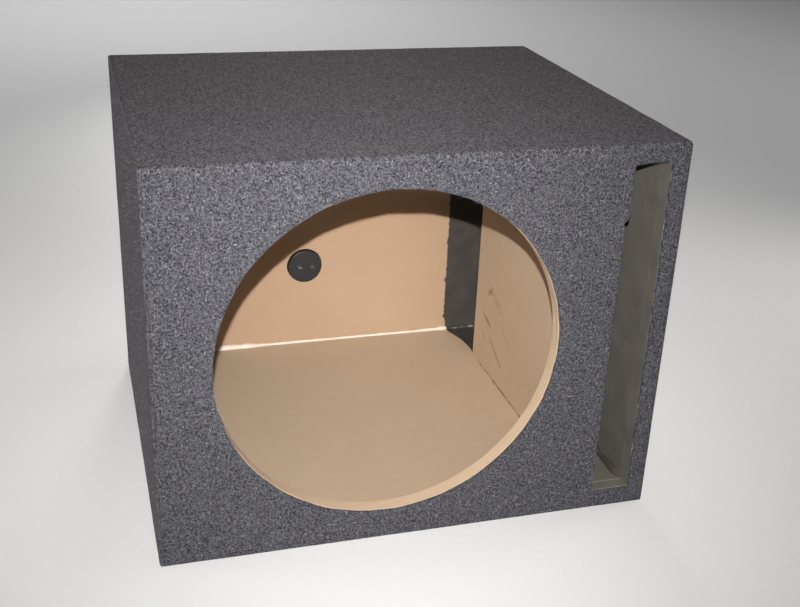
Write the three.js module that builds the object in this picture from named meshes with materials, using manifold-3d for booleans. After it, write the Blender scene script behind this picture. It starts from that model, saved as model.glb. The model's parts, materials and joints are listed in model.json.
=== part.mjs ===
// Slot-vented enclosure for one 15 inch car subwoofer driver.
// Millimetres, +Z up. Origin: bottom centre of the whole part. The driver side faces -Y.

import * as THREE from 'three';
import { mergeVertices } from 'three/addons/utils/BufferGeometryUtils.js';
import Module from 'manifold-3d';

const wasm = await Module();
wasm.setup();

// ---------------------------------------------------------------- driving dimensions

const BOX_WIDTH = 533; // outside, over the carpet
const BOX_DEPTH = 448;
const BOX_HEIGHT = 416;
const CARPET = 3;
const PANEL = 15.9; // 5/8 inch fibreboard
const JOINT_GAP = 0.3; // glue line between two pieces that touch

const DRIVER_HOLE_RADIUS = 176; // cutout for a 15 inch driver
const DRIVER_HOLE_X = -31.5;
const DRIVER_HOLE_SIDES = 96;

const PORT_WIDTH = 44.5;
const PORT_TURN_GAP = 80; // between the port wall's rear edge and the back panel

const BEAD = 6; // leg of a sealant bead

const BRAD_RADIUS = 0.8;
const BRAD_HEAD_RADIUS = 1.4;
const BRAD_HEAD_HEIGHT = 0.8;
const BRAD_LENGTH = 38;
const BRAD_SUNK = 0.2; // head below the panel's face
const BRAD_SIDES = 6;

const TERMINAL_X = -30.5;
const TERMINAL_Z = 133;
const TERMINAL_HOLE_RADIUS = 23.5;
const FLANGE_RADIUS = 38;
const FLANGE_THICKNESS = 2.6;
const TUB_RADIUS = 22.3; // the tub is round outside, to fill the terminal hole
const TUB_DEPTH = 24;
const TUB_WALL = 1.6; // of its floor
const RECESS_WIDTH = 34.8; // the pocket for the levers
const RECESS_HEIGHT = 22.8;
const RECESS_CORNER = 1.4;
const RIB_THICKNESS = 2.8; // divides the two levers

const LEVER_THICKNESS = 3;
const LEVER_LENGTH = 21;
const LEVER_SIDE_GAP = 0.3;
const PIVOT_Y = -8; // below the carpet's face, seen from the cup
const PIVOT_Z = -1;
const TRUNNION_RADIUS = 1.2;
const TRUNNION_LENGTH = 0.8;
const TRUNNION_CLEARANCE = 0.1;
const WIRE_HOLE_RADIUS = 1.6;

const STRIP_THICKNESS = 0.8; // contact strip
const STRIP_WIDTH = 5;
const LUG_X = 8.2;
const LUG_Z = 1.5;
const LUG_REACH = 9; // behind the tub
const LUG_COINED = 0.15; // the tab is pressed thinner by this on each face
const LUG_HOLE_RADIUS = 0.7;

const SPRING_WIRE = 0.25; // radius
const SPRING_RADIUS = 2.05; // to the middle of the wire
const SPRING_TURNS = 4.5;
const SPRING_Z = 6;

const SCREW_CIRCLE = 31;
const SCREW_RADIUS = 1.6;
const SCREW_HEAD_RADIUS = 3.3;
const SCREW_LENGTH = 16.6;
const SCREW_SIDES = 12;

// ---------------------------------------------------------------- derived places

const halfWidth = BOX_WIDTH / 2;
const front = -(BOX_DEPTH + FLANGE_THICKNESS) / 2;
const back = front + BOX_DEPTH;
const skin = CARPET + JOINT_GAP;

const wood = {
  x: halfWidth - skin,
  front: front + skin,
  back: back - skin,
  bottom: skin,
  top: BOX_HEIGHT - skin,
};

const inside = {
  x: wood.x - PANEL,
  front: wood.front + PANEL,
  back: wood.back - PANEL,
  floor: wood.bottom + PANEL,
  ceiling: wood.top - PANEL,
};

const midHeight = (wood.bottom + wood.top) / 2;
const portLeft = inside.x - PORT_WIDTH;
const portWallLeft = portLeft - PANEL;
const portWallEnd = inside.back - PORT_TURN_GAP;

// ---------------------------------------------------------------- materials

const material = (color, roughness, metalness = 0) =>
  new THREE.MeshStandardMaterial({ color, roughness, metalness });

const finish = {
  board: () => material(0xc8a27c, 0.85),
  carpet: () => material(0x4a4b52, 1.0),
  sealant: () => material(0xe8e6df, 0.5),
  cup: () => material(0x17171a, 0.45),
  red: () => material(0xb3161b, 0.4),
  black: () => material(0x101012, 0.4),
  plated: () => material(0xc9cbd0, 0.3, 1.0),
  zinc: () => material(0xa9abae, 0.4, 1.0),
};

// ---------------------------------------------------------------- solids

function solidOf(geometry) {
  const bare = geometry.clone();
  bare.deleteAttribute('normal');
  bare.deleteAttribute('uv');
  const merged = mergeVertices(bare, 1e-4);
  return new wasm.Manifold(new wasm.Mesh({
    numProp: 3,
    vertProperties: new Float32Array(merged.attributes.position.array),
    triVerts: new Uint32Array(merged.index.array),
  }));
}

function geometryOf(solid) {
  const mesh = solid.getMesh();
  const geometry = new THREE.BufferGeometry();
  const places = new THREE.BufferAttribute(new Float32Array(mesh.vertProperties), 3);
  geometry.setAttribute('position', places);
  geometry.setIndex(new THREE.BufferAttribute(new Uint32Array(mesh.triVerts), 1));
  geometry.computeVertexNormals();
  return geometry;
}

// A box from its low and high values along each axis.
function slab([x0, x1], [y0, y1], [z0, z1]) {
  const geometry = new THREE.BoxGeometry(x1 - x0, y1 - y0, z1 - z0);
  return geometry.translate((x0 + x1) / 2, (y0 + y1) / 2, (z0 + z1) / 2);
}

// A round bar from one point to another.
function bar(from, to, radius, sides) {
  const start = new THREE.Vector3(...from);
  const along = new THREE.Vector3(...to).sub(start);
  const geometry = new THREE.CylinderGeometry(radius, radius, along.length(), sides);
  const turn = new THREE.Quaternion().setFromUnitVectors(
    new THREE.Vector3(0, 1, 0), along.clone().normalize());
  geometry.applyQuaternion(turn);
  return geometry.translate(...start.addScaledVector(along, 0.5).toArray());
}

// A flat outline in Y and Z, given depth along X from x0 to x1.
function alongX(outline, x0, x1) {
  const shape = outline instanceof THREE.Shape
    ? outline
    : new THREE.Shape(outline.map(([y, z]) => new THREE.Vector2(y, z)));
  const geometry = new THREE.ExtrudeGeometry(shape, {
    depth: x1 - x0, bevelEnabled: false, curveSegments: 8,
  });
  const axes = new THREE.Matrix4().makeBasis(
    new THREE.Vector3(0, 1, 0), new THREE.Vector3(0, 0, 1), new THREE.Vector3(1, 0, 0));
  return geometry.applyMatrix4(axes).translate(x0, 0, 0);
}

// A rectangle with round corners in X and Z, given depth along Y from y0 to y1.
function roundedBlock(width, height, corner, y0, y1) {
  const w = width / 2;
  const h = height / 2;
  const shape = new THREE.Shape();
  shape.moveTo(-w + corner, -h);
  shape.lineTo(w - corner, -h);
  shape.absarc(w - corner, -h + corner, corner, -Math.PI / 2, 0);
  shape.lineTo(w, h - corner);
  shape.absarc(w - corner, h - corner, corner, 0, Math.PI / 2);
  shape.lineTo(-w + corner, h);
  shape.absarc(-w + corner, h - corner, corner, Math.PI / 2, Math.PI);
  shape.lineTo(-w, -h + corner);
  shape.absarc(-w + corner, -h + corner, corner, Math.PI, 1.5 * Math.PI);
  const geometry = new THREE.ExtrudeGeometry(shape, {
    depth: y1 - y0, bevelEnabled: false, curveSegments: 6,
  });
  return geometry.rotateX(Math.PI / 2).translate(0, y1, 0);
}

// A turned shape around an axis along Y: the profile is a list of [radius, y], y going up.
function turned(profile, sides) {
  return new THREE.LatheGeometry(profile.map(([r, y]) => new THREE.Vector2(r, y)), sides);
}

function cut(body, cutters) {
  const tool = cutters.map(solidOf).reduce((all, one) => all.add(one));
  return geometryOf(solidOf(body).subtract(tool));
}

function join(parts) {
  return geometryOf(parts.map(solidOf).reduce((all, one) => all.add(one)));
}

const enclosure = new THREE.Group();
enclosure.name = 'vented_enclosure';

function addPiece(parent, name, geometry, surface) {
  const mesh = new THREE.Mesh(geometry, surface);
  mesh.name = name;
  parent.add(mesh);
  return mesh;
}

// ---------------------------------------------------------------- brads

// Each brad starts at a panel's outer face and runs along a direction into its neighbour's edge.
const panelMiddle = PANEL / 2;
const sideMiddle = wood.x - panelMiddle;
const portWallMiddle = portWallLeft + panelMiddle;
const brads = [];

for (const [face, y, way] of [['front', wood.front, 1], ['back', wood.back, -1]]) {
  for (const x of [-160, 160]) {
    brads.push({ name: `brad_${face}_top`, at: [x, y, wood.top - panelMiddle], way: [0, way, 0] });
    brads.push({ name: `brad_${face}_floor`, at: [x, y, wood.bottom + panelMiddle], way: [0, way, 0] });
  }
  for (const side of [-1, 1]) {
    const name = `brad_${face}_${side < 0 ? 'left' : 'right'}`;
    for (const rise of [-90, 90]) {
      brads.push({ name, at: [side * sideMiddle, y, midHeight + rise], way: [0, way, 0] });
    }
  }
}
for (const [face, z, way] of [['top', wood.top, -1], ['floor', wood.bottom, 1]]) {
  for (const y of [-120, 120]) {
    brads.push({ name: `brad_${face}_left`, at: [-sideMiddle, y, z], way: [0, 0, way] });
    brads.push({ name: `brad_${face}_right`, at: [sideMiddle, y, z], way: [0, 0, way] });
  }
  for (const y of [-110, 50]) {
    brads.push({ name: `brad_${face}_port`, at: [portWallMiddle, y, z], way: [0, 0, way] });
  }
}

function bradShape(swell) {
  const tip = BRAD_LENGTH + swell;
  const taper = 2.5;
  const headFace = swell ? -1 : 0; // a hole starts outside the panel
  return turned([
    [0, headFace],
    [BRAD_HEAD_RADIUS + swell, headFace],
    [BRAD_HEAD_RADIUS + swell, BRAD_HEAD_HEIGHT + swell],
    [BRAD_RADIUS + swell, BRAD_HEAD_HEIGHT + swell],
    [BRAD_RADIUS + swell, tip - taper],
    [BRAD_RADIUS * 0.3 + swell, tip],
    [0, tip],
  ], BRAD_SIDES);
}

function bradAt(brad, swell) {
  const way = new THREE.Vector3(...brad.way);
  const start = new THREE.Vector3(...brad.at).addScaledVector(way, BRAD_SUNK);
  const turn = new THREE.Quaternion().setFromUnitVectors(new THREE.Vector3(0, 1, 0), way);
  return bradShape(swell).applyQuaternion(turn).translate(...start.toArray());
}

const bradHoles = brads.map((brad) => bradAt(brad, JOINT_GAP));

// ---------------------------------------------------------------- panels

const between = {
  y: [inside.front + JOINT_GAP, inside.back - JOINT_GAP],
  z: [inside.floor + JOINT_GAP, inside.ceiling - JOINT_GAP],
};
const wholeX = [-wood.x, wood.x];
const wholeZ = [wood.bottom, wood.top];

const driverHole = bar([DRIVER_HOLE_X, front - 5, midHeight],
  [DRIVER_HOLE_X, inside.front + 5, midHeight], DRIVER_HOLE_RADIUS, DRIVER_HOLE_SIDES);
const slot = slab([portLeft, inside.x], [front - 5, inside.front + 5], [inside.floor, inside.ceiling]);
const terminalHole = bar([TERMINAL_X, inside.back - 5, TERMINAL_Z],
  [TERMINAL_X, back + 5, TERMINAL_Z], TERMINAL_HOLE_RADIUS, 40);

const screwPlaces = [45, 135, 225, 315].map((degrees) => {
  const angle = THREE.MathUtils.degToRad(degrees);
  return [SCREW_CIRCLE * Math.cos(angle), SCREW_CIRCLE * Math.sin(angle)];
});
const screwHoles = screwPlaces.map(([x, z]) => bar(
  [TERMINAL_X + x, back + 5, TERMINAL_Z + z],
  [TERMINAL_X + x, back - SCREW_LENGTH, TERMINAL_Z + z],
  SCREW_RADIUS + JOINT_GAP, SCREW_SIDES));

const panels = {
  front_baffle: cut(slab(wholeX, [wood.front, inside.front], wholeZ), [driverHole, slot, ...bradHoles]),
  back_panel: cut(slab(wholeX, [inside.back, wood.back], wholeZ),
    [terminalHole, ...screwHoles, ...bradHoles]),
  top_panel: cut(slab(wholeX, between.y, [inside.ceiling, wood.top]), bradHoles),
  bottom_panel: cut(slab(wholeX, between.y, [wood.bottom, inside.floor]), bradHoles),
  left_panel: cut(slab([-wood.x, -inside.x], between.y, between.z), bradHoles),
  right_panel: cut(slab([inside.x, wood.x], between.y, between.z), bradHoles),
  port_wall: cut(slab([portWallLeft, portLeft], [between.y[0], portWallEnd], between.z), bradHoles),
};
for (const [name, geometry] of Object.entries(panels)) {
  addPiece(enclosure, name, geometry, finish.board());
}

const bradCounts = {};
for (const brad of brads) {
  bradCounts[brad.name] = (bradCounts[brad.name] ?? 0) + 1;
  addPiece(enclosure, `${brad.name}_${bradCounts[brad.name]}`, bradAt(brad, 0), finish.zinc());
}

// ---------------------------------------------------------------- carpet

// One piece runs up the front, over the top and down the back, with soft outer bends.
function carpetWrap() {
  const bend = 4;
  const hem = JOINT_GAP; // its cut ends stop just above the floor
  const shape = new THREE.Shape();
  shape.moveTo(front, hem);
  shape.lineTo(front + CARPET, hem);
  shape.lineTo(front + CARPET, BOX_HEIGHT - CARPET);
  shape.lineTo(back - CARPET, BOX_HEIGHT - CARPET);
  shape.lineTo(back - CARPET, hem);
  shape.lineTo(back, hem);
  shape.lineTo(back, BOX_HEIGHT - bend);
  shape.absarc(back - bend, BOX_HEIGHT - bend, bend, 0, Math.PI / 2);
  shape.lineTo(front + bend, BOX_HEIGHT);
  shape.absarc(front + bend, BOX_HEIGHT - bend, bend, Math.PI / 2, Math.PI);
  return cut(alongX(shape, -wood.x, wood.x), [driverHole, slot, terminalHole, ...screwHoles]);
}

addPiece(enclosure, 'carpet_wrap', carpetWrap(), finish.carpet());
addPiece(enclosure, 'carpet_base', slab(wholeX, [front + skin, back - skin], [0, CARPET]), finish.carpet());
for (const [name, side] of [['carpet_left', -1], ['carpet_right', 1]]) {
  const faces = [side * halfWidth, side * (halfWidth - CARPET)].sort((a, b) => a - b);
  addPiece(enclosure, name, slab(faces, [front, back], [JOINT_GAP, BOX_HEIGHT]), finish.carpet());
}

// ---------------------------------------------------------------- sealant beads

// A bead fills the corner at (a, b) of a plane with a right triangle that leaves the glue gap.
function beadOutline(a, b, aWay, bWay) {
  const corner = [a + aWay * JOINT_GAP, b + bWay * JOINT_GAP];
  const legA = [corner[0] + aWay * BEAD, corner[1]];
  const legB = [corner[0], corner[1] + bWay * BEAD];
  return aWay * bWay > 0 ? [corner, legA, legB] : [corner, legB, legA];
}

// Turns an outline in two axes into a bead along the third.
function beadAlong(axis, outline, from, to) {
  const shape = new THREE.Shape(outline.map(([a, b]) => new THREE.Vector2(a, b)));
  const geometry = new THREE.ExtrudeGeometry(shape, { depth: to - from, bevelEnabled: false });
  const x = new THREE.Vector3(1, 0, 0);
  const y = new THREE.Vector3(0, 1, 0);
  const z = new THREE.Vector3(0, 0, 1);
  const bases = { x: [y, z, x], y: [z, x, y], z: [x, y, z] };
  geometry.applyMatrix4(new THREE.Matrix4().makeBasis(...bases[axis]));
  const shift = { x: [from, 0, 0], y: [0, from, 0], z: [0, 0, from] };
  return geometry.translate(...shift[axis]);
}

const beadStop = BEAD + 1; // where one bead ends short of another
const { x: wallX, back: wallBack, front: wallFront, floor, ceiling } = inside;
const beads = {
  bead_back_floor: ['x', beadOutline(wallBack, floor, -1, 1), -wallX + JOINT_GAP, wallX - JOINT_GAP],
  bead_back_top: ['x', beadOutline(wallBack, ceiling, -1, -1), -wallX + JOINT_GAP, wallX - JOINT_GAP],
  bead_back_left: ['z', beadOutline(-wallX, wallBack, 1, -1), floor + beadStop, ceiling - beadStop],
  bead_left_floor: ['y', beadOutline(floor, -wallX, 1, 1), wallFront + JOINT_GAP, wallBack - beadStop],
  bead_left_top: ['y', beadOutline(ceiling, -wallX, -1, 1), wallFront + JOINT_GAP, wallBack - beadStop],
  bead_port_floor: ['y', beadOutline(floor, wallX, 1, -1), wallFront + JOINT_GAP, wallBack - beadStop],
  bead_port_top: ['y', beadOutline(ceiling, wallX, -1, -1), wallFront + JOINT_GAP, wallBack - beadStop],
};
for (const [name, [axis, outline, from, to]] of Object.entries(beads)) {
  addPiece(enclosure, name, beadAlong(axis, outline, from, to), finish.sealant());
}

// ---------------------------------------------------------------- terminal cup

// The cup's own frame: origin on the carpet's back face, +Y outwards, X and Z as the box.
const terminal = new THREE.Group();
terminal.position.set(TERMINAL_X, back, TERMINAL_Z);
enclosure.add(terminal);

const tubFloor = -TUB_DEPTH + TUB_WALL;
const ribTop = -3;
const leverInner = RIB_THICKNESS / 2 + LEVER_SIDE_GAP;
const leverOuter = RECESS_WIDTH / 2 - LEVER_SIDE_GAP;
const leverX = (leverInner + leverOuter) / 2;
const leverBack = PIVOT_Y - LEVER_THICKNESS / 2;
const leverFace = PIVOT_Y + LEVER_THICKNESS / 2;
const seatGap = 0.05; // between the flange and the carpet

function terminalCup() {
  const rim = 1.2;
  const flange = turned([
    [0, seatGap],
    [FLANGE_RADIUS, seatGap],
    [FLANGE_RADIUS, FLANGE_THICKNESS - rim],
    [FLANGE_RADIUS - rim, FLANGE_THICKNESS],
    [0, FLANGE_THICKNESS],
  ], 48);
  const tub = turned([
    [0, -TUB_DEPTH],
    [TUB_RADIUS, -TUB_DEPTH],
    [TUB_RADIUS, FLANGE_THICKNESS / 2],
    [0, FLANGE_THICKNESS / 2],
  ], 48);
  const recess = roundedBlock(RECESS_WIDTH, RECESS_HEIGHT, RECESS_CORNER, tubFloor,
    FLANGE_THICKNESS + 1);
  const open = cut(join([flange, tub]), [recess]);
  const ribHalf = (RECESS_HEIGHT + TUB_WALL) / 2;
  const rib = slab([-RIB_THICKNESS / 2, RIB_THICKNESS / 2], [tubFloor - TUB_WALL / 2, ribTop],
    [-ribHalf, ribHalf]);
  const postRadius = SPRING_RADIUS - SPRING_WIRE - 0.35;
  const posts = [-leverX, leverX].map((x) => bar([x, tubFloor - TUB_WALL / 2, SPRING_Z],
    [x, tubFloor + 3, SPRING_Z], postRadius, 16));
  const filled = join([open, rib, ...posts]);

  const socket = TRUNNION_RADIUS + TRUNNION_CLEARANCE;
  const socketReach = TRUNNION_LENGTH + JOINT_GAP + LEVER_SIDE_GAP;
  const sockets = [
    bar([-RECESS_WIDTH / 2 - socketReach + LEVER_SIDE_GAP, PIVOT_Y, PIVOT_Z],
      [-RECESS_WIDTH / 2 + 0.1, PIVOT_Y, PIVOT_Z], socket, 16),
    bar([-RIB_THICKNESS, PIVOT_Y, PIVOT_Z], [RIB_THICKNESS, PIVOT_Y, PIVOT_Z], socket, 16),
    bar([RECESS_WIDTH / 2 - 0.1, PIVOT_Y, PIVOT_Z],
      [RECESS_WIDTH / 2 + socketReach - LEVER_SIDE_GAP, PIVOT_Y, PIVOT_Z], socket, 16),
  ];
  const lugWidth = STRIP_WIDTH + 2 * JOINT_GAP;
  const lugHeight = STRIP_THICKNESS + 2 * JOINT_GAP;
  const lugSlots = [-LUG_X, LUG_X].map((x) => slab([x - lugWidth / 2, x + lugWidth / 2],
    [-TUB_DEPTH - 1, tubFloor + 1], [LUG_Z - lugHeight / 2, LUG_Z + lugHeight / 2]));
  const countersinks = screwPlaces.map(([x, z]) => turned([
    [0, -1],
    [SCREW_RADIUS + JOINT_GAP, -1],
    [SCREW_RADIUS + JOINT_GAP, FLANGE_THICKNESS - 1.7],
    [SCREW_HEAD_RADIUS + JOINT_GAP, FLANGE_THICKNESS],
    [SCREW_HEAD_RADIUS + JOINT_GAP, FLANGE_THICKNESS + 1],
    [0, FLANGE_THICKNESS + 1],
  ], SCREW_SIDES).translate(x, 0, z));
  return cut(filled, [...sockets, ...lugSlots, ...countersinks]);
}

// A rocker with a ribbed pad above its pivot and the wire hole below.
function terminalLever() {
  const half = (leverOuter - leverInner) / 2;
  const padTop = PIVOT_Z + 11.5;
  const plate = slab([-half, half], [leverBack, leverFace], [padTop - LEVER_LENGTH, padTop]);
  const pad = slab([-half + 0.8, half - 0.8], [leverFace - 0.5, leverFace + 0.9], [0.5, padTop - 0.6]);
  const trunnions = bar([-half - TRUNNION_LENGTH, PIVOT_Y, PIVOT_Z],
    [half + TRUNNION_LENGTH, PIVOT_Y, PIVOT_Z], TRUNNION_RADIUS, 16);
  const seat = bar([0, leverBack - 1.5, SPRING_Z], [0, leverBack + 0.5, SPRING_Z], 1.4, 16);
  const ridges = [2.5, 4.9, 7.3].map((z) => slab([-half + 1.6, half - 1.6],
    [leverFace + 0.5, leverFace + 1.7], [z - 0.5, z + 0.5]));
  const body = join([plate, pad, trunnions, seat, ...ridges]);
  const wireZ = PIVOT_Z - 5;
  const hole = turned([
    [0, leverBack - 1],
    [WIRE_HOLE_RADIUS, leverBack - 1],
    [WIRE_HOLE_RADIUS, leverFace - 1],
    [WIRE_HOLE_RADIUS + 1.3, leverFace + 0.3],
    [0, leverFace + 0.3],
  ], 20).translate(0, 0, wireZ);
  return cut(body, [hole]);
}

// A strip bent from the lug, through the tub's floor and along it, up to the lever's lower end.
function contactStrip() {
  const t = STRIP_THICKNESS;
  const onFloor = tubFloor + JOINT_GAP;
  const lugBottom = LUG_Z - t / 2;
  const lugTop = LUG_Z + t / 2;
  const tabEnd = -TUB_DEPTH - LUG_REACH;
  const tabStart = -TUB_DEPTH - 0.8;
  const foot = PIVOT_Z - 9;
  const jaw = leverBack - JOINT_GAP;
  const strip = alongX([
    [tabEnd, lugBottom + LUG_COINED],
    [tabStart, lugBottom + LUG_COINED],
    [tabStart + 0.3, lugBottom],
    [onFloor, lugBottom],
    [onFloor, foot],
    [jaw - 0.6, foot + 1.6],
    [jaw, foot + 2.6],
    [jaw - t, foot + 3.2],
    [jaw - t - 0.5, foot + 1.6 + t],
    [onFloor + t, foot + t],
    [onFloor + t, lugTop],
    [tabStart + 0.3, lugTop],
    [tabStart, lugTop - LUG_COINED],
    [tabEnd, lugTop - LUG_COINED],
  ], -STRIP_WIDTH / 2, STRIP_WIDTH / 2);
  const eye = tabEnd + 2;
  return cut(strip, [bar([0, eye, lugBottom - 1], [0, eye, lugTop + 1], LUG_HOLE_RADIUS, 12)]);
}

function returnSpring() {
  const start = tubFloor + JOINT_GAP + SPRING_WIRE;
  const end = leverBack - JOINT_GAP - SPRING_WIRE;
  class Coil extends THREE.Curve {
    getPoint(t, target = new THREE.Vector3()) {
      const angle = 2 * Math.PI * SPRING_TURNS * t;
      return target.set(SPRING_RADIUS * Math.cos(angle), start + (end - start) * t,
        SPRING_RADIUS * Math.sin(angle));
    }
  }
  const wire = new THREE.Shape().absarc(0, 0, SPRING_WIRE, 0, 2 * Math.PI);
  return new THREE.ExtrudeGeometry(wire, {
    steps: SPRING_TURNS * 10, extrudePath: new Coil(), curveSegments: 3,
  });
}

function flangeScrew() {
  const tip = FLANGE_THICKNESS - SCREW_LENGTH;
  const neck = FLANGE_THICKNESS - 1.7;
  const body = turned([
    [0, tip],
    [SCREW_RADIUS, tip + 4],
    [SCREW_RADIUS, neck],
    [SCREW_HEAD_RADIUS, FLANGE_THICKNESS],
    [0, FLANGE_THICKNESS],
  ], SCREW_SIDES);
  const reach = 1.9;
  const slit = 0.45;
  const deep = [FLANGE_THICKNESS - 1.1, FLANGE_THICKNESS + 1];
  return cut(body, [
    slab([-reach, reach], deep, [-slit, slit]),
    slab([-slit, slit], deep, [-reach, reach]),
  ]);
}

addPiece(terminal, 'terminal_cup', terminalCup(), finish.cup());
for (const [pole, side, colour] of [['positive', 1, finish.red], ['negative', -1, finish.black]]) {
  addPiece(terminal, `lever_${pole}`, terminalLever(), colour()).position.x = side * leverX;
  addPiece(terminal, `contact_${pole}`, contactStrip(), finish.plated()).position.x = side * LUG_X;
  addPiece(terminal, `lever_spring_${pole}`, returnSpring(), finish.zinc())
    .position.set(side * leverX, 0, SPRING_Z);
}
screwPlaces.forEach(([x, z], index) => {
  const screw = addPiece(terminal, `flange_screw_${index + 1}`, flangeScrew(), finish.zinc());
  screw.position.set(x, 0, z);
});

export default enclosure;
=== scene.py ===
"""Slot-vented subwoofer enclosure: felt carpet over fibreboard, with a spring terminal cup.

Metres, +Z up, the driver side faces -Y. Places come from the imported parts.
"""

import json
import math
import random

import bmesh
import bpy
from mathutils import Euler, Matrix, Vector, noise


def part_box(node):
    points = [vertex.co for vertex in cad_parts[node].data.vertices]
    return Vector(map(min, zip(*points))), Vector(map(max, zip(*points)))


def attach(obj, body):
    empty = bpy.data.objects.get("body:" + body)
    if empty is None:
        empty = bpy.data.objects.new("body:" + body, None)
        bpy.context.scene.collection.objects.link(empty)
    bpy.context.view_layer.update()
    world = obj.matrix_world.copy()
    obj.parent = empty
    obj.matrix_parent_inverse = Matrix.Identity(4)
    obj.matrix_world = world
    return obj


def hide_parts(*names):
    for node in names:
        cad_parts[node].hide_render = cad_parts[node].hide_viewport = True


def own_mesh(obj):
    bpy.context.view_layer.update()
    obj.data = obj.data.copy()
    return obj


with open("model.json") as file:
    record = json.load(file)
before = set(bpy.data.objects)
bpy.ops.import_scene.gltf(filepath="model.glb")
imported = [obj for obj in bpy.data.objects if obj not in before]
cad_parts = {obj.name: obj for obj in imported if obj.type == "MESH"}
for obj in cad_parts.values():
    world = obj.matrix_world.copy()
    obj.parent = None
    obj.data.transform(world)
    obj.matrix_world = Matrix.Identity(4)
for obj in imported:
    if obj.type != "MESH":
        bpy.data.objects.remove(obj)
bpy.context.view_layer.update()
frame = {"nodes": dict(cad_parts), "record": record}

MM = 0.001
UP, RIGHT, AWAY = Vector((0, 0, 1)), Vector((1, 0, 0)), Vector((0, 1, 0))

# ---------------------------------------------------------------- places from the frame

wrap_low, wrap_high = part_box("carpet_wrap")
left_low, left_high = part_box("carpet_left")
right_low, right_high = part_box("carpet_right")
baffle_low, baffle_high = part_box("front_baffle")
rear_low, rear_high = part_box("back_panel")
port_low, port_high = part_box("port_wall")
cup_low, cup_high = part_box("terminal_cup")

FRONT, BACK, TOP = wrap_low.y, wrap_high.y, wrap_high.z
FELT = left_high.x - left_low.x
FLOOR_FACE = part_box("bottom_panel")[1].z
CEILING_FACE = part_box("top_panel")[0].z
RIGHT_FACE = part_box("right_panel")[0].x
REAR_FACE = rear_low.y
MID_HEIGHT = (baffle_low.z + baffle_high.z) / 2

mounts = {m["name"]: m for m in frame["record"]["mounts"]}
DRIVER_CENTRE = Vector((mounts["driver_seat"]["pos_m"][0], FRONT, MID_HEIGHT))
TERMINAL = Vector(((cup_low.x + cup_high.x) / 2, BACK, (cup_low.z + cup_high.z) / 2))
SLOT_LEFT, SLOT_RIGHT = port_high.x, RIGHT_FACE
CUP_FACE, TUB_END = cup_high.y, cup_low.y

# ---------------------------------------------------------------- sizes and colours

CAMERA_PLACE = Vector((-0.3206, FRONT - 0.9515, 0.7211))
DRIVER_RADIUS = 176 * MM
TRIM_RADIUS = DRIVER_RADIUS + 0.4 * MM  # the driver's hole in the felt
FELT_STEP = 9 * MM  # the spacing of the felt's mesh
FOLD_RADIUS = 5 * MM  # of the felt over the top edges
SEAM_RADIUS = 2.6 * MM  # of the side sheets' outer edges
TERMINAL_HOLE = 23.5 * MM
TUB_RADIUS, TUB_FLOOR = 22.3 * MM, 1.6 * MM
POCKET_WIDE, POCKET_TALL = 34.8 * MM, 22.8 * MM

# In the terminal cup's own frame and in mm, as around_terminal takes them
LEVER_X, LEVER_HALF = 9.4, 7.7
LEVER_BACK, LEVER_FACE = -9.5, -6.5
PIVOT_Y, PIVOT_Z = -8, -1
SPRING_Z = 6
WIRE_Z = -6
LUG_X = 8.2
RIB_HALF = 1.4
MARK_Z = 19.5

# How many loose fibres stand on each face, and how many at each trimmed opening
FIBRE_COUNTS = {"front": 4200, "top": 4200, "back": 3000, "side": 2600, "cutout": 1500, "slot": 900}

# Two shades of the paint sprayed in the port, and two of the darker paint behind the port wall
PORT_COAT = ((0.106, 0.098, 0.082), (0.131, 0.123, 0.104))
REAR_COAT = ((0.036, 0.032, 0.027), (0.048, 0.043, 0.037))

# ---------------------------------------------------------------- camera, lights, floor


def place_camera():
    """Stands to the left of the box and above it, looking down through the cutout."""
    data = bpy.data.cameras.new("camera")
    data.lens = 51.3
    data.sensor_width = 36
    camera = bpy.data.objects.new("camera", data)
    bpy.context.scene.collection.objects.link(camera)
    camera.location = CAMERA_PLACE
    turn, tilt, roll = math.radians(-17.14), math.radians(90 - 24.43), math.radians(2.43)
    look = Euler((tilt, 0, turn)).to_matrix().to_4x4()
    camera.rotation_euler = (look @ Matrix.Rotation(roll, 4, "Z")).to_euler()
    bpy.context.scene.camera = camera


def soft_light(name, place, target, size, power, colour, spread):
    """A round lamp that the camera doesn't see, aimed at a target."""
    data = bpy.data.lights.new(name, "AREA")
    data.shape = "DISK"
    data.size = size
    data.energy = power
    data.color = colour
    data.spread = math.radians(spread)
    light = bpy.data.objects.new(name, data)
    bpy.context.scene.collection.objects.link(light)
    light.location = place
    light.visible_camera = False
    aim = Vector(target) - Vector(place)
    light.rotation_euler = aim.to_track_quat("-Z", "Y").to_euler()


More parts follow.
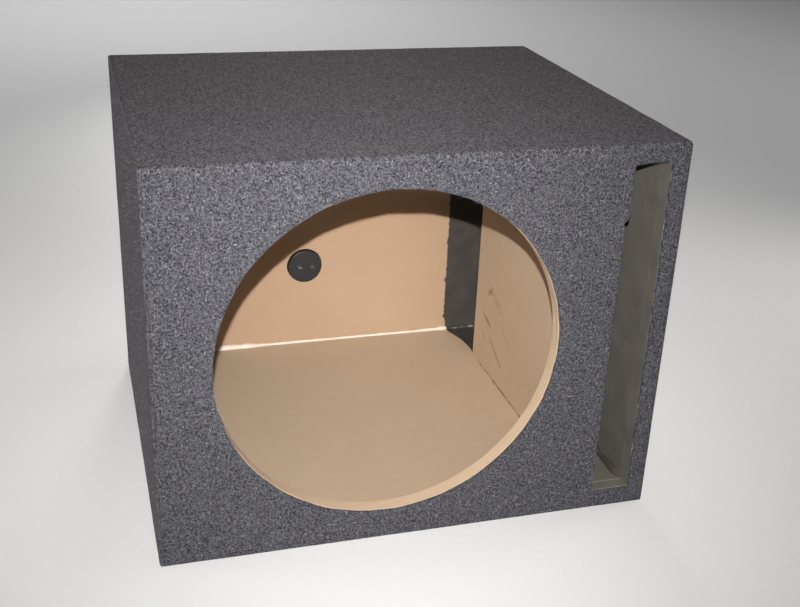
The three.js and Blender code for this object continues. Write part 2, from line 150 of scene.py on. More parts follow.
def light_studio():
    """A small key just above the lens, with wide soft lights over and round the box."""
    middle = Vector((0, 0, 0.3))
    white, cream = (1.0, 1.0, 1.0), (1.0, 0.96, 0.93)
    soft_light("key", CAMERA_PLACE + UP * 0.078, (-0.05, FRONT, 0.29), 0.012, 4.6,
               (1.0, 0.985, 0.97), spread=64)
    soft_light("over", (0.12, -0.10, 2.0), middle, 0.8, 0.56, (1.0, 0.78, 0.70), spread=50)
    soft_light("left", (-1.6, 0.2, 0.3), middle, 0.5, 2.6, cream, spread=90)
    soft_light("right", (1.6, 0.2, 0.3), middle, 0.5, 3.4, cream, spread=90)
    soft_light("rear", (0.3, 2.0, 0.35), middle, 0.6, 6, (1.0, 0.98, 0.96), spread=90)
    soft_light("backdrop", (0, 3.2, 3.0), (0, 2.8, 0), 2.0, 24, white, spread=95)
    for side, x, y in (("right", 3.2, 0), ("left", -3.2, 0), ("front", 0, -3.2)):
        soft_light(f"{side}_floor", (x, y, 3.0), (x, y, 0), 2.0, 16, white, spread=80)
    world = bpy.data.worlds.new("studio")
    bpy.context.scene.world = world
    world.use_nodes = True
    background = world.node_tree.nodes["Background"]
    background.inputs["Color"].default_value = (0.95, 0.96, 1.0, 1)
    background.inputs["Strength"].default_value = 0.08
    bpy.context.scene.view_settings.view_transform = "Standard"


def lay_floor():
    clear()
    bpy.ops.mesh.primitive_plane_add(size=14, location=(0, 0, 0))
    floor = bpy.context.object
    floor.name = "floor"
    bpy.ops.object.mode_set(mode="EDIT")
    bpy.ops.mesh.subdivide(number_cuts=3)
    bpy.ops.object.mode_set(mode="OBJECT")
    floor.data.materials.append(plain_floor())


# ---------------------------------------------------------------- modelling helpers


def clear():
    if bpy.context.object and bpy.context.object.mode != "OBJECT":
        bpy.ops.object.mode_set(mode="OBJECT")
    bpy.ops.object.select_all(action="DESELECT")


def hold(piece):
    """Selects one piece alone."""
    clear()
    piece.select_set(True)
    bpy.context.view_layer.objects.active = piece


def settle(piece):
    """Puts the piece's place, turn and size into its mesh."""
    hold(piece)
    bpy.ops.object.transform_apply(location=True, rotation=True, scale=True)
    return piece


def block(name, low, high):
    """A box between two corners."""
    clear()
    low, high = Vector(low), Vector(high)
    bpy.ops.mesh.primitive_cube_add(size=1, location=(low + high) / 2)
    piece = bpy.context.object
    piece.name = name
    piece.scale = high - low
    return settle(piece)


def rod(name, start, end, radius, sides, tip_radius=None):
    """A round bar from start to end; with a tip radius it tapers."""
    clear()
    start, end = Vector(start), Vector(end)
    along = end - start
    bpy.ops.mesh.primitive_cone_add(
        vertices=sides, radius1=radius, radius2=radius if tip_radius is None else tip_radius,
        depth=along.length, location=(start + end) / 2)
    piece = bpy.context.object
    piece.name = name
    piece.rotation_euler = along.to_track_quat("Z", "Y").to_euler()
    return settle(piece)


def select_where(piece, kind, test):
    """Goes into edit mode and selects only the faces or edges that pass a test."""
    hold(piece)
    bpy.ops.object.mode_set(mode="EDIT")
    bpy.context.tool_settings.mesh_select_mode = (False, kind == "edges", kind == "faces")
    bpy.ops.mesh.select_all(action="DESELECT")
    mesh = bmesh.from_edit_mesh(piece.data)
    for part in getattr(mesh, kind):
        if test(part):
            part.select_set(True)
    mesh.select_flush_mode()
    bmesh.update_edit_mesh(piece.data)


def finish_edit():
    bpy.ops.object.mode_set(mode="OBJECT")


def face_outwards(piece):
    hold(piece)
    bpy.ops.object.mode_set(mode="EDIT")
    bpy.ops.mesh.select_all(action="SELECT")
    bpy.ops.mesh.normals_make_consistent(inside=False)
    finish_edit()


def modify(piece, kind, **settings):
    """Adds a modifier and applies it."""
    hold(piece)
    modifier = piece.modifiers.new(kind.lower(), kind)
    for key, value in settings.items():
        setattr(modifier, key, value)
    bpy.ops.object.modifier_apply(modifier=modifier.name)
    return piece


def cut_away(piece, *tools):
    for tool in tools:
        modify(piece, "BOOLEAN", object=tool, operation="DIFFERENCE", solver="EXACT")
        bpy.data.objects.remove(tool)
    return piece


def add_on(piece, *extras):
    for extra in extras:
        modify(piece, "BOOLEAN", object=extra, operation="UNION", solver="EXACT")
        bpy.data.objects.remove(extra)
    return piece


def ease_edges(piece, width, segments=3, angle=35):
    """Rounds every sharp edge a little and shades the rest smooth."""
    modify(piece, "BEVEL", width=width, segments=segments, limit_method="ANGLE",
           angle_limit=math.radians(angle))
    smooth(piece)
    return modify(piece, "WEIGHTED_NORMAL", keep_sharp=True, weight=100)


def smooth(piece, angle=40):
    hold(piece)
    bpy.ops.object.shade_smooth_by_angle(angle=math.radians(angle))
    return piece


def slice_up(piece, axis, step):
    """Cuts the mesh across one axis at an even spacing."""
    hold(piece)
    values = [v.co[axis] for v in piece.data.vertices]
    low, high = min(values), max(values)
    count = max(1, round((high - low) / step))
    normal = Vector([float(i == axis) for i in range(3)])
    bpy.ops.object.mode_set(mode="EDIT")
    for i in range(1, count):
        bpy.ops.mesh.select_all(action="SELECT")
        bpy.ops.mesh.bisect(plane_co=normal * (low + (high - low) * i / count), plane_no=normal)
    finish_edit()
    return piece


def ruffle(sheet):
    """Gives the felt a slow, uneven swell."""
    texture = bpy.data.textures.new(sheet.name + "_swell", "CLOUDS")
    texture.noise_scale = 0.035
    return modify(sheet, "DISPLACE", texture=texture, texture_coords="OBJECT",
                  strength=0.5 * MM, mid_level=0.5)


def finish_piece(piece, body, slot, *nodes):
    """Hangs the piece on its body and hides the nodes that it stands in for. The slot is not used.
    """
    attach(piece, body)
    if nodes:
        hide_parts(*nodes)
    return piece


# ---------------------------------------------------------------- materials


class Shade:
    """A material under construction: each method adds a node and returns its output."""

    def __init__(self, name, **sockets):
        self.material = bpy.data.materials.new(name)
        self.material.use_nodes = True
        self.tree = self.material.node_tree
        self.shader = self.tree.nodes["Principled BSDF"]
        for key, value in sockets.items():
            self.shader.inputs[key.replace("_", " ")].default_value = value
        self.place = self.tree.nodes.new("ShaderNodeTexCoord").outputs["Object"]

    def put(self, target, value):
        if isinstance(value, bpy.types.NodeSocket):
            self.tree.links.new(value, target)
        else:
            target.default_value = value

    def node(self, kind, output, settings=(), **sockets):
        made = self.tree.nodes.new(kind)
        for key, value in dict(settings).items():
            setattr(made, key, value)
        for key, value in sockets.items():
            self.put(made.inputs[key.replace("_", " ")], value)
        return made.outputs[output]

    def stretched(self, scale, turn=(0, 0, 0)):
        return self.node("ShaderNodeMapping", "Vector", Vector=self.place,
                         Scale=scale, Rotation=[math.radians(a) for a in turn])

    def grain(self, scale, detail=2.0, vector=None, rough=0.5, warp=0.0):
        return self.node("ShaderNodeTexNoise", "Fac", Vector=vector or self.place,
                         Scale=scale, Detail=detail, Roughness=rough, Distortion=warp)

    def cells(self, scale, vector=None):
        return self.node("ShaderNodeTexVoronoi", "Distance", Vector=vector or self.place,
                         Scale=scale)

    def maths(self, operation, a, b=0.5):
        made = self.tree.nodes.new("ShaderNodeMath")
        made.operation = operation
        for socket, value in zip(made.inputs, (a, b)):
            self.put(socket, value)
        return made.outputs[0]

    def band(self, value, low, high, to_low=0.0, to_high=1.0):
        """Rises smoothly from to_low to to_high as value goes from low to high."""
        return self.node("ShaderNodeMapRange", "Result", {"interpolation_type": "SMOOTHSTEP"},
                         Value=value, From_Min=low, From_Max=high, To_Min=to_low, To_Max=to_high)

    def mix(self, share, a, b):
        made = self.tree.nodes.new("ShaderNodeMix")
        made.data_type = "RGBA"
        self.put(made.inputs["Factor"], share)
        for socket, value in ((made.inputs[6], a), (made.inputs[7], b)):
            if isinstance(value, tuple):
                value = (*value, 1.0)
            self.put(socket, value)
        return made.outputs[2]

    def axes(self, names):
        """The place along each axis that is named, such as XZ."""
        split = self.tree.nodes.new("ShaderNodeSeparateXYZ")
        self.tree.links.new(self.place, split.inputs[0])
        return [split.outputs[name] for name in names]

    def bump(self, height, distance, strength):
        return self.node("ShaderNodeBump", "Normal", Height=height, Distance=distance,
                         Strength=strength)

    def give(self, **sockets):
        for key, value in sockets.items():
            if isinstance(value, tuple):
                value = (*value, 1.0)
            self.put(self.shader.inputs[key.replace("_", " ")], value)
        return self.material


def plain_floor():
    s = Shade("studio_floor", Roughness=0.7, Emission_Color=(1, 1, 1, 1), Emission_Strength=0.06)
    speck = s.grain(90, 4)
    s.give(Base_Color=s.mix(speck, (0.61, 0.61, 0.61), (0.65, 0.65, 0.645)))
    return s.give(Normal=s.bump(speck, 0.0005, 0.2))


def felt():
    """Needle-punched carpet: dark and pale fibres tangled together."""
    s = Shade("charcoal_felt", Roughness=0.95, Specular_IOR_Level=0.1, Sheen_Weight=0.03,
              Sheen_Roughness=0.5, Sheen_Tint=(1.0, 0.93, 0.90, 1))
    lines = (((820, 240, 820), (20, 35, 10)), ((240, 820, 700), (70, 15, 50)),
             ((740, 740, 230), (35, 60, 25)))
    runs = [s.grain(1.0, 2, s.stretched(scale, turn), rough=0.6) for scale, turn in lines]
    tangle = s.maths("MAXIMUM", s.maths("MAXIMUM", runs[0], runs[1]), runs[2])
    clumps = s.grain(1.0, 3, s.stretched((460, 230, 460)), rough=0.7, warp=0.5)
    patches = s.band(s.grain(26, 3), 0.32, 0.72)
    ground = s.mix(s.band(clumps, 0.36, 0.64), (0.012, 0.012, 0.015), (0.086, 0.085, 0.097))
    ground = s.mix(s.maths("MULTIPLY", patches, 0.18), ground, (0.064, 0.064, 0.070))
    pale = s.maths("MULTIPLY", s.band(tangle, 0.61, 0.75), 0.8)
    colour = s.mix(pale, ground, (0.216, 0.216, 0.230))
    height = s.maths("ADD", s.maths("MULTIPLY", clumps, 0.7), s.maths("MULTIPLY", tangle, 0.6))
    return s.give(Base_Color=colour, Normal=s.bump(height, 0.0012, 0.6))


def loose_fibre(name, colour, other):
    s = Shade(name, Roughness=0.8, Sheen_Weight=0.3)
    return s.give(Base_Color=s.mix(s.grain(160, 2), colour, other))


def board_colour(s, warm=1.0, pale=1.0):
    """Pale tan pressed fibre with fine flecks and a few darker specks."""
    cloud = s.grain(14, 5, rough=0.6)
    speck = s.band(s.cells(30, s.stretched((1, 1, 1.3))), 0.022, 0.040, 0.55, 0.0)
    fleck = s.band(s.grain(900, 2, rough=0.7), 0.56, 0.72)
    strand = s.grain(1.0, 3, s.stretched((260, 900, 500), (20, 30, 60)), rough=0.6)
    strand = s.band(strand, 0.55, 0.75)
    # pale and warm scale and tint a panel's whole tone: painted shade where a panel is made darker,
    # painted light where it is made paler, for how much light reaches it.
    shift = (pale, pale / warm, pale / warm**2)
    tones = ((0.408, 0.304, 0.210), (0.448, 0.339, 0.237))
    tan = s.mix(cloud, *(tuple(c * k for c, k in zip(tone, shift)) for tone in tones))
    tan = s.mix(s.maths("MULTIPLY", fleck, 0.20), tan, (0.26, 0.172, 0.112))
    tan = s.mix(s.maths("MULTIPLY", strand, 0.16), tan, (0.52, 0.41, 0.30))
    return s.mix(speck, tan, (0.17, 0.10, 0.055))


def painted_board(name, paint=None, coat=PORT_COAT, near_coat=None, smudge=None, warm=1.0,
                  pale=1.0, painted_highlight=None):
    """Fibreboard, with paint, glue marks and a painted highlight where those functions give 1.

    Towards the front, a near_coat takes the coat's place.
    """
    s = Shade(name)
    colour = board_colour(s, warm, pale)
    rough = s.band(s.grain(60, 3), 0.3, 0.7, 0.55, 0.70)
    height = s.grain(700, 3, rough=0.7)
    if smudge:
        colour = s.mix(smudge(s), colour, (0.25, 0.14, 0.075))
    if paint:
        cover = paint(s)
        mist = s.band(s.cells(420), 0.05, 0.35, 1.0, 0.0)
        sprayed = s.mix(s.band(s.grain(34, 4), 0.3, 0.7), *coat)
        if near_coat:
            nearer = s.mix(s.grain(34, 4), *near_coat)
            sprayed = s.mix(s.band(s.axes("Y")[0], -80 * MM, 110 * MM), nearer, sprayed)
        sprayed = s.mix(s.maths("MULTIPLY", mist, 0.12), sprayed, tuple(c * 1.5 for c in coat[1]))
        colour = s.mix(cover, colour, sprayed)
        # Painted highlight: a paler colour where the function gives 1, standing for light caught on
        # an edge.
        if painted_highlight:
            colour = s.mix(painted_highlight(s), colour, (0.26, 0.24, 0.19))
        rough = s.maths("SUBTRACT", rough, s.maths("MULTIPLY", cover, 0.12))
    return s.give(Base_Color=colour, Roughness=rough, Normal=s.bump(height, 0.0003, 0.35))


def cut_board(name):
    """The sawn and routed edge: paler, fuzzier, with the core's layers."""
    s = Shade(name, Roughness=0.9)
    layer = s.grain(1.0, 2, s.stretched((30, 700, 30)), rough=0.5)
    fuzz = s.grain(1100, 3, rough=0.8)
    colour = s.mix(layer, (0.455, 0.325, 0.212), (0.545, 0.402, 0.276))
    colour = s.mix(s.maths("MULTIPLY", s.band(fuzz, 0.45, 0.7), 0.3), colour, (0.612, 0.510, 0.391))
    return s.give(Base_Color=colour, Normal=s.bump(fuzz, 0.0005, 0.7))


def past_edge(s, value, edge, soft, ragged):
    """1 where value is past a sprayed edge that wanders by ragged."""
    wander = s.maths("MULTIPLY", s.maths("SUBTRACT", s.grain(28, 4, rough=0.6), 0.5), 2 * ragged)
    dust = s.maths("MULTIPLY", s.maths("SUBTRACT", s.grain(700, 2), 0.5), soft)
    where = s.maths("ADD", s.maths("ADD", value, wander), dust)
    return s.band(where, edge - soft, edge + soft)


def paint_on_rear(s):
    """Brushed down the wall from top to bottom, with runs where the brush was full."""
    x, z = s.axes("XZ")
    run = s.band(s.grain(1.0, 2, s.stretched((0, 0, 88))), 0.48, 0.66, 0.0, 2.4 * MM)
    foot = s.band(z, FLOOR_FACE, FLOOR_FACE + 26 * MM, -3.5 * MM, 0.0)
    reach = s.maths("ADD", s.maths("ADD", x, run), foot)
    return past_edge(s, reach, 170.5 * MM, 0.5 * MM, 1.6 * MM)


def paint_on_floor(s):
    """The spray came round the end of the port wall and swept back to the rear corner."""
    x, y = s.axes("XY")
    back = s.band(y, port_high.y, REAR_FACE + 4 * MM)
    sweep = s.maths("MULTIPLY", s.maths("POWER", back, 2.3), 14 * MM)
    return past_edge(s, s.maths("ADD", x, sweep), port_low.x + 1.0 * MM, 0.6 * MM, 1.2 * MM)


def paint_past_port_wall(s):
    return past_edge(s, s.axes("X")[0], 188 * MM, 1.0 * MM, 3 * MM)


def paint_everywhere(s):
    return s.band(s.grain(240, 2), 0.05, 0.2, 0.93, 1.0)


def smear(s, place, half, turn):
    """1 inside a ragged oval on the port wall: its place and half sizes are (y, z)."""
    local = s.node("ShaderNodeMapping", "Vector", {"vector_type": "TEXTURE"}, Vector=s.place,
                   Location=(port_low.x, place[0] * MM, place[1] * MM),
                   Rotation=(math.radians(turn), 0, 0), Scale=(MM * 9, half[0] * MM, half[1] * MM))
    out = s.node("ShaderNodeVectorMath", "Value", {"operation": "LENGTH"}, Vector=local)
    ragged = s.maths("MULTIPLY", s.maths("SUBTRACT", s.grain(190, 3), 0.5), 1.5)
    return s.band(s.maths("ADD", out, ragged), 0.35, 1.15, 1.0, 0.0)


def glue_on_port_wall(s):
    """Brown wood glue wiped off the bare face by hand: place, half size, turn and depth of each."""
    wipes = (((74, 132), (11, 4.2), -35, 0.75), ((81, 90), (17, 4.2), 18, 0.8),
             ((45, 59), (34, 2.0), 27, 0.85), ((52, 128), (40, 6.5), 24, 0.22),
             ((18, 96), (28, 4.5), 30, 0.18), ((88, 62), (9, 3.0), 60, 0.4))
    marks = None
    for place, half, turn, depth in wipes:
        mark = s.maths("MULTIPLY", smear(s, place, half, turn), depth)
        marks = mark if marks is None else s.maths("MAXIMUM", marks, mark)
    return marks


def sill_corner_highlight(s):
    """Painted highlight: the two corners of the slot's sill are drawn paler, like thin paint, where
    their edges catch the light.
    """
    y, z = s.axes("YZ")
    inner = s.band(y, baffle_high.y - 2.2 * MM, baffle_high.y - 0.9 * MM)
    outer = s.band(y, baffle_low.y + 2.4 * MM, baffle_low.y + 1.0 * MM)
    low = s.band(z, FLOOR_FACE + 2 * MM, FLOOR_FACE + MM)
    return s.maths("MULTIPLY", s.maths("MAXIMUM", inner, outer), s.maths("MULTIPLY", low, 0.75))


def paint_round_slot(s):
    """The slot's paint runs out a little on to the baffle's faces, and misses a few spots."""
    reach = past_edge(s, s.axes("X")[0], SLOT_LEFT - 12 * MM, 0.6 * MM, 2 * MM)
    return s.maths("MULTIPLY", reach, s.band(s.grain(70, 2), 0.36, 0.42))


def glue_at_wall_foot(s):
    """Glue and dust in the open joint where the port wall meets the floor."""
    x, y = s.axes("XY")
    off = s.maths("ABSOLUTE", s.maths("SUBTRACT", x, port_low.x - 0.5 * MM))
    line = s.band(off, 1.0 * MM, 2.3 * MM, 1.0, 0.0)
    blots = s.band(s.grain(60, 3), 0.42, 0.58, 0.35, 1.0)
    front = s.band(y, port_high.y - 8 * MM, port_high.y - 30 * MM)
    return s.maths("MULTIPLY", s.maths("MULTIPLY", line, blots), front)


def sealant(name, paint_from=None, painted_all=False):
    """Cured white filler, bare, painted past a given x, or painted all over."""
    s = Shade(name, Roughness=0.42, Coat_Weight=0.2)
    tone = s.grain(70, 4)
    colour = s.mix(tone, (0.57, 0.48, 0.39), (0.66, 0.60, 0.52))
    dust = s.band(s.grain(600, 2), 0.62, 0.75, 0.0, 0.3)
    colour = s.mix(dust, colour, (0.510, 0.383, 0.264))
    if paint_from is not None:
        cover = past_edge(s, s.axes("X")[0], paint_from, 0.6 * MM, 1.5 * MM)
        missed = s.band(s.grain(110, 3), 0.50, 0.62)
        brushed = s.mix(missed, REAR_COAT[0], (0.105, 0.105, 0.078))
        colour = s.mix(cover, colour, brushed)
    if painted_all:
        colour = s.mix(s.grain(90, 3), (0.040, 0.037, 0.031), (0.056, 0.052, 0.044))
    return s.give(Base_Color=colour, Normal=s.bump(s.grain(260, 3), 0.0004, 0.5))


def moulded(name, colour, lighter, rough=0.42):
    """Moulded plastic with a fine spark texture and a few scuffs."""
    s = Shade(name)
    spark = s.grain(1500, 2, rough=0.6)
    scuff = s.band(s.grain(1.0, 3, s.stretched((90, 90, 600), (0, 20, 35))), 0.62, 0.75, 0.0, 0.10)
    sheen = s.band(spark, 0.3, 0.7, rough - 0.05, rough + 0.08)
    return s.give(Base_Color=s.mix(s.grain(120, 3), colour, lighter),
                  Roughness=s.maths("ADD", sheen, scuff), Normal=s.bump(spark, 0.00012, 0.35))


def bare_metal(name, colour, lighter, rough):
    """Metal with fine draw lines."""
    s = Shade(name, Metallic=1.0)
    draw = s.grain(1.0, 3, s.stretched((200, 2400, 200)))
    return s.give(Base_Color=s.mix(s.grain(300, 3), colour, lighter),
                  Roughness=s.band(draw, 0.3, 0.7, rough - 0.06, rough + 0.12),
                  Normal=s.bump(draw, 0.00005, 0.3))


# ---------------------------------------------------------------- carpet


def hole_cutter():
    """The driver's hole as it was trimmed through the felt, a little off round."""
    tool = rod("driver_trim", DRIVER_CENTRE - AWAY * 0.02, DRIVER_CENTRE + AWAY * 0.01,
               TRIM_RADIUS, 220)
    for v in tool.data.vertices:
        out = Vector((v.co.x - DRIVER_CENTRE.x, 0, v.co.z - DRIVER_CENTRE.z))
        wobble = noise.noise(Vector((out.x, 0, out.z)).normalized() * 9) * 0.7 * MM
        v.co += out.normalized() * wobble
    return tool


def slot_cutter():
    """The port slot as it was trimmed through the felt by hand, with a flap left at the top."""
    tool = block("slot_trim", (SLOT_LEFT, FRONT - 0.01, FLOOR_FACE),
                 (SLOT_RIGHT, FRONT + 0.01, CEILING_FACE))
    slice_up(tool, 2, 2.5 * MM)
    slice_up(tool, 0, 4 * MM)
    flap, nick = 3.4 * MM, 3.0 * MM
    flap_foot = CEILING_FACE - 61 * MM
    for v in tool.data.vertices:
        at_left, at_right = v.co.x < SLOT_LEFT + MM, v.co.x > SLOT_RIGHT - MM
        place = Vector((v.co.x * 90, 0, v.co.z * 90))
        wave = noise.noise(place) * 1.0 * MM + noise.noise(place * 4) * 0.5 * MM
        if at_left or at_right:
            v.co.x += wave * (1.7 if at_right else 1.0)
        if at_left and v.co.z > flap_foot:
            v.co.x += flap
        if at_left and abs(v.co.z - flap_foot) < 2 * MM:
            v.co.x -= nick
        if v.co.z > CEILING_FACE - MM:
            left_share = (SLOT_RIGHT - v.co.x) / (SLOT_RIGHT - SLOT_LEFT)
            v.co.z -= max(0, left_share - 0.45) ** 2 * 12 * MM - wave
        elif v.co.z < FLOOR_FACE + MM:
            v.co.z += wave
    return tool


def fold_over_top(sheet):
    """Rounds the top edges that run across the box."""
    select_where(sheet, "edges", lambda e: all(v.co.z > TOP - MM for v in e.verts)
                 and abs(e.verts[0].co.x - e.verts[1].co.x) > MM)
    bpy.ops.mesh.bevel(offset=FOLD_RADIUS, segments=6, affect="EDGES")
    finish_edit()


def carpet_wrap(finish):
    """One sheet over the front, the top and the back, with its three openings trimmed."""
    sheet = block("carpet_wrap_felt", wrap_low, wrap_high)
    select_where(sheet, "faces", lambda f: abs(f.normal.x) > 0.9 or f.normal.z < -0.9)
    bpy.ops.mesh.delete(type="ONLY_FACE")
    finish_edit()
    fold_over_top(sheet)
    for axis in (0, 1, 2):
        slice_up(sheet, axis, FELT_STEP)
    face_outwards(sheet)
    modify(sheet, "SOLIDIFY", thickness=FELT - 0.15 * MM, offset=-1)
    cup_trim = rod("cup_trim", TERMINAL - AWAY * 0.01, TERMINAL + AWAY * 0.01, TERMINAL_HOLE, 64)
    cut_away(sheet, hole_cutter(), slot_cutter(), cup_trim)
    modify(sheet, "BEVEL", width=0.6 * MM, segments=2, limit_method="ANGLE",
           angle_limit=math.radians(50))
    ruffle(sheet)
    smooth(sheet, 50)
    sheet.data.materials.append(finish)
    holes = math.pi * (DRIVER_RADIUS**2 + TERMINAL_HOLE**2)
    holes += (SLOT_RIGHT - SLOT_LEFT) * (CEILING_FACE - FLOOR_FACE)
    return finish_piece(sheet, "enclosure", "carpet", "carpet_wrap")


def side_carpet(name, low, high, outer_x, finish):
    """A side's sheet, rounded round its outer face."""
    sheet = block(name + "_felt", low, high)
    fold_over_top(sheet)
    select_where(sheet, "edges", lambda e: all(abs(v.co.x - outer_x) < 1e-6 for v in e.verts)
                 and any(abs(f.normal.x) < 0.5 for f in e.link_faces))
    bpy.ops.mesh.bevel(offset=SEAM_RADIUS, segments=5, affect="EDGES")
    finish_edit()
    for axis in (1, 2):
        slice_up(sheet, axis, FELT_STEP)
    ruffle(sheet)
    smooth(sheet, 50)
    sheet.data.materials.append(finish)
    return finish_piece(sheet, "enclosure", "carpet", name)


def base_carpet(finish):
    low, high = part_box("carpet_base")
    sheet = block("carpet_base_felt", low, high)
    ease_edges(sheet, 0.8 * MM, 3)
    for axis in (0, 1):
        slice_up(sheet, axis, 15 * MM)
    sheet.data.materials.append(finish)
    return finish_piece(sheet, "enclosure", "carpet", "carpet_base")


def strand(reach, thickness, bow):
    """One fibre standing on the origin along +Z: a thin three-sided tube, bowed sideways."""
    rings = []
    thirds = (0, 2.094, 4.189)
    for step in range(3):
        share = step / 2
        side = bow * math.sin(math.pi * 0.5 * share)
        wide = thickness * (1 - 0.6 * share)
        rings.append([Vector((side + wide * math.cos(a), wide * math.sin(a), reach * share))
                      for a in thirds])
    faces = [(r * 3 + i, r * 3 + (i + 1) % 3, r * 3 + 3 + (i + 1) % 3, r * 3 + 3 + i)
             for r in range(2) for i in range(3)]
    return [p for ring in rings for p in ring], faces + [(2, 1, 0), (6, 7, 8)]


def fibres(name, spots, finishes, seed, reach=(1.5, 4.5)):
    """Loose fibres of a reach in mm, rooted at spots, each a (point, outward direction)."""
    thickness, lean = 0.07 * MM, 1.1
    draw = random.Random(seed)
    verts, faces, finish_of = [], [], []
    for point, outward in spots:
        length = draw.uniform(*reach) * MM
        shape, sides = strand(length, thickness * draw.uniform(0.7, 1.3),
                              length * draw.uniform(0.2, 0.9))
        turn = outward.to_track_quat("Z", "Y").to_matrix()
        turn = turn @ Matrix.Rotation(draw.uniform(0, math.tau), 3, "Z")
        turn = turn @ Matrix.Rotation(draw.gauss(0, lean), 3, "Y")
        start = len(verts)
        root = point - outward * 0.25 * MM
        verts += [root + turn @ p for p in shape]
        faces += [tuple(start + i for i in f) for f in sides]
        finish_of += [draw.randrange(len(finishes))] * len(sides)
    mesh = bpy.data.meshes.new(name)
    mesh.from_pydata(verts, [], faces)
    mesh.validate()
    for finish in finishes:
        mesh.materials.append(finish)
    mesh.polygons.foreach_set("material_index", finish_of)
    piece = bpy.data.objects.new(name, mesh)
    bpy.context.scene.collection.objects.link(piece)
    return finish_piece(piece, "enclosure", "carpet")


def in_slot(point):
    """True in the port's slot or at its edges."""
    return (SLOT_LEFT - MM < point.x < SLOT_RIGHT + MM
            and FLOOR_FACE - MM < point.z < CEILING_FACE + MM)


def on_front(point):
    """True where the front carpet has felt."""
    from_hole = math.hypot(point.x - DRIVER_CENTRE.x, point.z - DRIVER_CENTRE.z)
    return from_hole >= DRIVER_RADIUS + MM and not in_slot(point)


def fray_cutout(draw, finishes):
    """Fibres that stick out of the trimmed felt round the driver's hole."""
    frayed = []
    for _ in range(FIBRE_COUNTS["cutout"]):
        angle = draw.uniform(0, math.tau)
        out = Vector((math.cos(angle), 0, math.sin(angle)))
        depth = draw.uniform(0.3, 2.8) * MM
        frayed.append((DRIVER_CENTRE + out * TRIM_RADIUS + AWAY * depth,
                       (-out - AWAY * draw.uniform(0.2, 1.6)).normalized()))
    fibres("cutout_fray", frayed, finishes, 15, reach=(1.0, 3.6))


def fray_slot(draw, finishes):
    """The same round the port's slot."""
    frayed = []
    for _ in range(FIBRE_COUNTS["slot"]):
        side = draw.choice(("left", "right", "bottom", "top"))
        along = draw.random()
        depth = draw.uniform(0.3, 2.8) * MM
        if side in ("left", "right"):
            x, way = (SLOT_LEFT, RIGHT) if side == "left" else (SLOT_RIGHT, -RIGHT)
            z = FLOOR_FACE + along * (CEILING_FACE - FLOOR_FACE)
        else:
            z, way = (FLOOR_FACE, UP) if side == "bottom" else (CEILING_FACE, -UP)
            x = SLOT_LEFT + along * (SLOT_RIGHT - SLOT_LEFT)
        outward = (way - AWAY * draw.uniform(0.2, 1.4)).normalized()
        frayed.append((Vector((x, FRONT + depth, z)), outward))
    fibres("slot_fray", frayed, finishes, 16, reach=(1.0, 3.2))


def scatter_fibres():
    """Loose fibres all over the felt, and more where it was trimmed."""
    draw = random.Random(7)
    finishes = [loose_fibre("pale_fibre", (0.26, 0.26, 0.275), (0.17, 0.17, 0.185)),
                loose_fibre("dark_fibre", (0.03, 0.03, 0.035), (0.06, 0.06, 0.065)),
                loose_fibre("grey_fibre", (0.09, 0.09, 0.098), (0.12, 0.12, 0.13))]
    inset = 4 * MM
    wide = (wrap_low.x, wrap_high.x)
    tall = (0.01, TOP - inset)
    deep = (FRONT + inset, BACK - inset)

    def spots(face, make, keep=lambda p: True):
        found = []
        while len(found) < FIBRE_COUNTS[face]:
            point = make()
            if keep(point):
                found.append(point)
        return found

    front = spots("front", lambda: Vector((draw.uniform(*wide), FRONT, draw.uniform(*tall))),
                  on_front)
    top = spots("top", lambda: Vector((draw.uniform(*wide), draw.uniform(*deep), TOP)))
    back = spots("back", lambda: Vector((draw.uniform(*wide), BACK, draw.uniform(*tall))),
                 lambda p: math.hypot(p.x - TERMINAL.x, p.z - TERMINAL.z) > 40 * MM)
    fibres("front_fibres", [(p, -AWAY) for p in front], finishes, 11)
    fibres("top_fibres", [(p, UP) for p in top], finishes, 12)
    fibres("back_fibres", [(p, AWAY) for p in back], finishes, 13)
    for name, x, way in (("left_fibres", left_low.x, -RIGHT),
                         ("right_fibres", right_high.x, RIGHT)):
        side = [(Vector((x, draw.uniform(*deep), draw.uniform(*tall))), way)
                for _ in range(FIBRE_COUNTS["side"])]
        fibres(name, side, finishes, 14)
    fray_cutout(draw, finishes)
    fray_slot(draw, finishes)


# ---------------------------------------------------------------- fibreboard


def face_finish(piece, finish, test):
    """Puts a second finish on the faces that pass a test."""
    piece.data.materials.append(finish)
    select_where(piece, "faces", test)
    bpy.context.object.active_material_index = len(piece.data.materials) - 1
    bpy.ops.object.material_slot_assign()
    finish_edit()


def front_baffle():
    """The baffle, with the driver's hole eased at its edges and the slot left sharp."""
    board = block("front_baffle_board", baffle_low, baffle_high)
    hole = rod("driver_hole", DRIVER_CENTRE - AWAY * 0.02, DRIVER_CENTRE + AWAY * 0.05,
               DRIVER_RADIUS, 256)
    slot = block("slot", (SLOT_LEFT, FRONT, FLOOR_FACE),
                 (SLOT_RIGHT, baffle_high.y + 0.01, CEILING_FACE))
    cut_away(board, hole)
    ease_edges(board, 0.5 * MM, 2)
    cut_away(board, slot)
    smooth(board)
    board.data.materials.append(painted_board("baffle_face", paint_round_slot))
    face_finish(board, cut_board("routed_rim"),
                lambda f: abs(f.normal.y) < 0.8
                and (f.calc_center_median() - DRIVER_CENTRE).length < DRIVER_RADIUS + 0.02)
    # The sill's two corners get a painted highlight.
    face_finish(board, painted_board("painted_slot_edge", paint_everywhere, painted_highlight=sill_corner_highlight),
                lambda f: abs(f.normal.y) < 0.9 and in_slot(f.calc_center_median()))
    return finish_piece(board, "enclosure", "board", "front_baffle")


